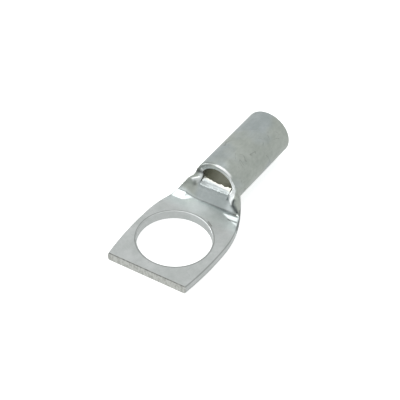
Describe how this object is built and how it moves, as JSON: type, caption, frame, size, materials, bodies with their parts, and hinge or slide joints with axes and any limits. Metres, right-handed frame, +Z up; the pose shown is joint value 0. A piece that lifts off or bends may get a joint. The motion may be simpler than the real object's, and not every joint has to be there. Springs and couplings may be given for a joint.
{
  "type": "cable lug",
  "caption": "One-piece tubular copper cable lug, tin plated: a flat palm with one stud hole, a pressed neck with an inspection window, and a round crimp barrel.",
  "frame": {"origin": "stud hole axis at the palm's contact face", "axes": "+X runs along the wire barrel away from the palm, +Z is up, out of the palm's upper face"},
  "size_m": [0.0398, 0.0169, 0.0097],
  "materials": {
    "tin_plate": "satin tin plating over copper, with fine drawing lines and light handling marks"
  },
  "bodies": {
    "root": {"lug": "tin_plate"}
  },
  "joints": []
}
